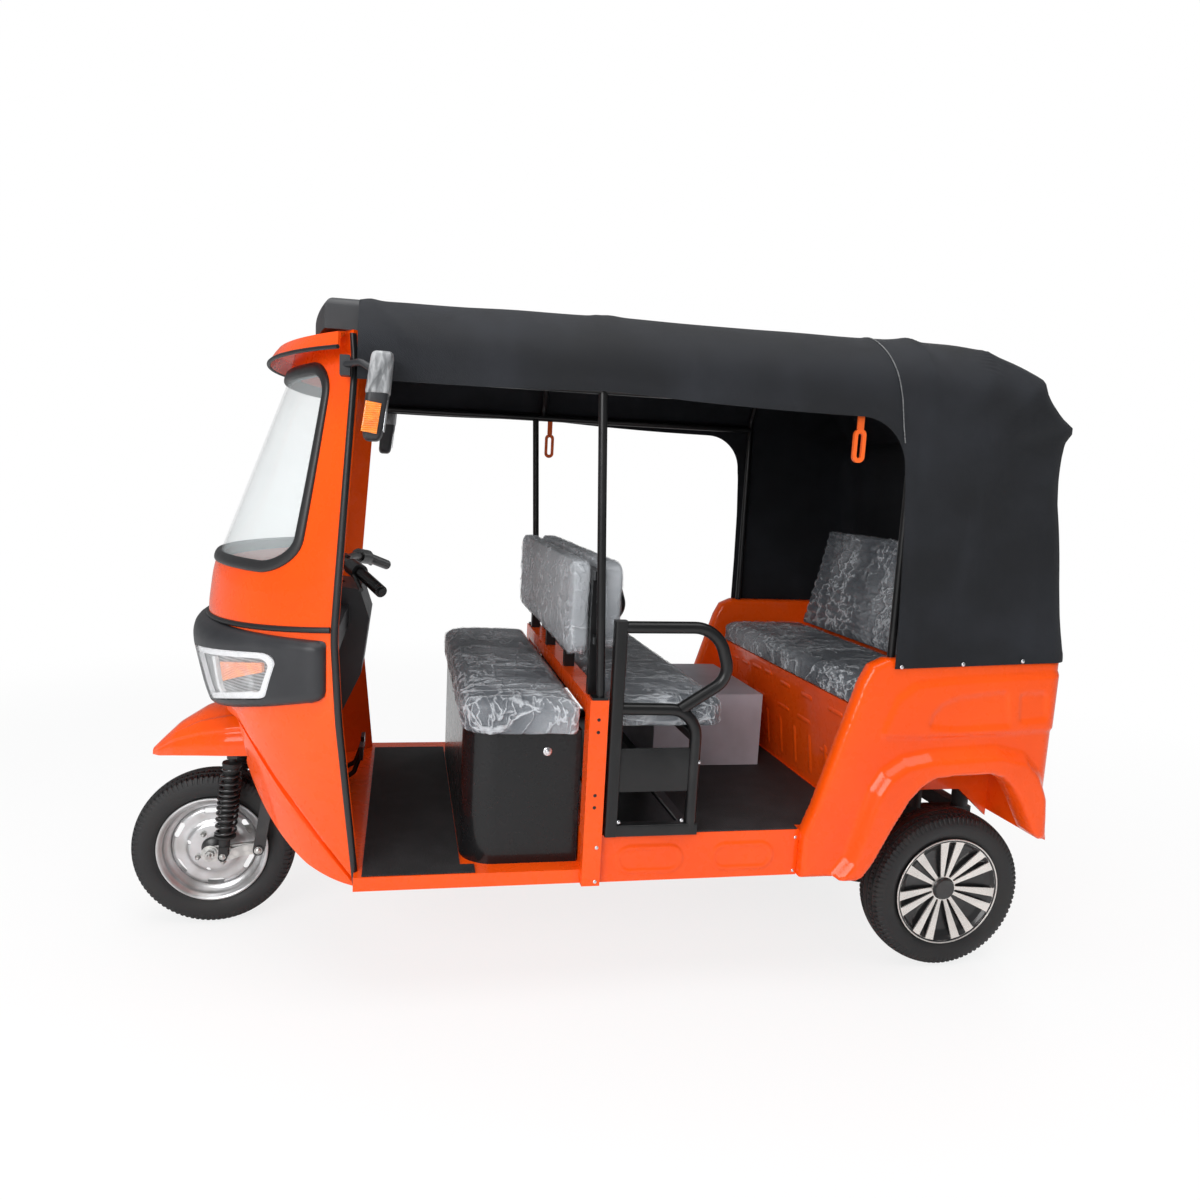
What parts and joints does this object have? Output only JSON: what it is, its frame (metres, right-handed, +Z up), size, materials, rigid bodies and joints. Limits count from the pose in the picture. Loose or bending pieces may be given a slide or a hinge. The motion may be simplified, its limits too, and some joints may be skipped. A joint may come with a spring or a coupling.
{
  "type": "auto rickshaw",
  "caption": "Three-wheeled passenger auto rickshaw with a bowed cab, canvas hood, three benches, steered front wheel and rolling rear wheels.",
  "frame": {"origin": "on the ground under the middle of the overall box", "axes": "-X is forward, -Y is the vehicle's left side, +Z is up"},
  "size_m": [2.712, 1.422, 1.8929],
  "materials": {
    "orange_paint": "gloss",
    "black_paint": "satin",
    "black_plastic": "matt, moulded",
    "gloss_black": "gloss",
    "grey_paint": "satin",
    "rubber": "matt",
    "tyre": "matt",
    "mat": "ribbed",
    "vinyl": "smooth vinyl under clear film",
    "pale_vinyl": "pale vinyl under clear film",
    "canvas": "coated canvas",
    "glass": "clear",
    "lamp": "clear",
    "red_lamp": "gloss",
    "steel": "bright",
    "zinc": "galvanised",
    "cast": "as cast",
    "orange_plastic": "moulded"
  },
  "bodies": {
    "body": {"backrest_frame": "black_paint", "battery_box": "grey_paint", "bench_backrests": "pale_vinyl", "cab_apron": "orange_paint", "cab_roof_cap": "black_plastic", "cab_shell": "orange_paint", "cab_visor": "orange_paint", "canopy": "canvas", "chassis_frame": "black_paint", "dashboard": "black_plastic", "drive_motor": "cast", "driver_cushion": "vinyl", "floor_mats": "mat", "floor_pan": "orange_paint", "foot_pedals": "black_paint", "front_mudguard": "orange_paint", "grab_handles": "orange_plastic", "headlamps": "lamp", "lamp_surround": "black_plastic", "leaf_springs": "black_paint", "middle_cushion": "vinyl", "middle_seat_frame": "black_paint", "mirrors": "black_plastic", "rear_axle": "black_paint", "rear_backrest": "vinyl", "rear_cushion": "vinyl", "rear_panel": "orange_paint", "rear_sides": "orange_paint", "rear_tub": "orange_paint", "roof_frame": "black_paint", "seat_beam": "orange_paint", "seat_box": "gloss_black", "tail_lamps": "red_lamp", "windscreen": "glass", "windscreen_seal": "rubber"},
    "steering": {"fork": "black_paint", "front_links": "zinc", "front_dampers": "black_paint", "handlebar": "black_paint"},
    "front_wheel": {"front_tyre": "tyre", "front_rim": "steel"},
    "rear_wheel_left": {"rear_tyre_left": "tyre", "rear_wheel_left": "steel"},
    "rear_wheel_right": {"rear_tyre_right": "tyre", "rear_wheel_right": "steel"}
  },
  "joints": [
    {"name": "steer", "type": "hinge", "parent": "body", "child": "steering", "pos_m": [-1.0632, 0, 0.246], "axis": [0.342, 0, 0.9397], "range_deg": [-35, 35]},
    {"name": "front_spin", "type": "hinge", "parent": "steering", "child": "front_wheel", "pos_m": [-1.11, 0, 0.246], "axis": [0, 1, 0], "continuous": true},
    {"name": "rear_left_spin", "type": "hinge", "parent": "body", "child": "rear_wheel_left", "pos_m": [1.11, -0.47, 0.246], "axis": [0, 1, 0], "continuous": true},
    {"name": "rear_right_spin", "type": "hinge", "parent": "body", "child": "rear_wheel_right", "pos_m": [1.11, 0.47, 0.246], "axis": [0, 1, 0], "continuous": true}
  ]
}
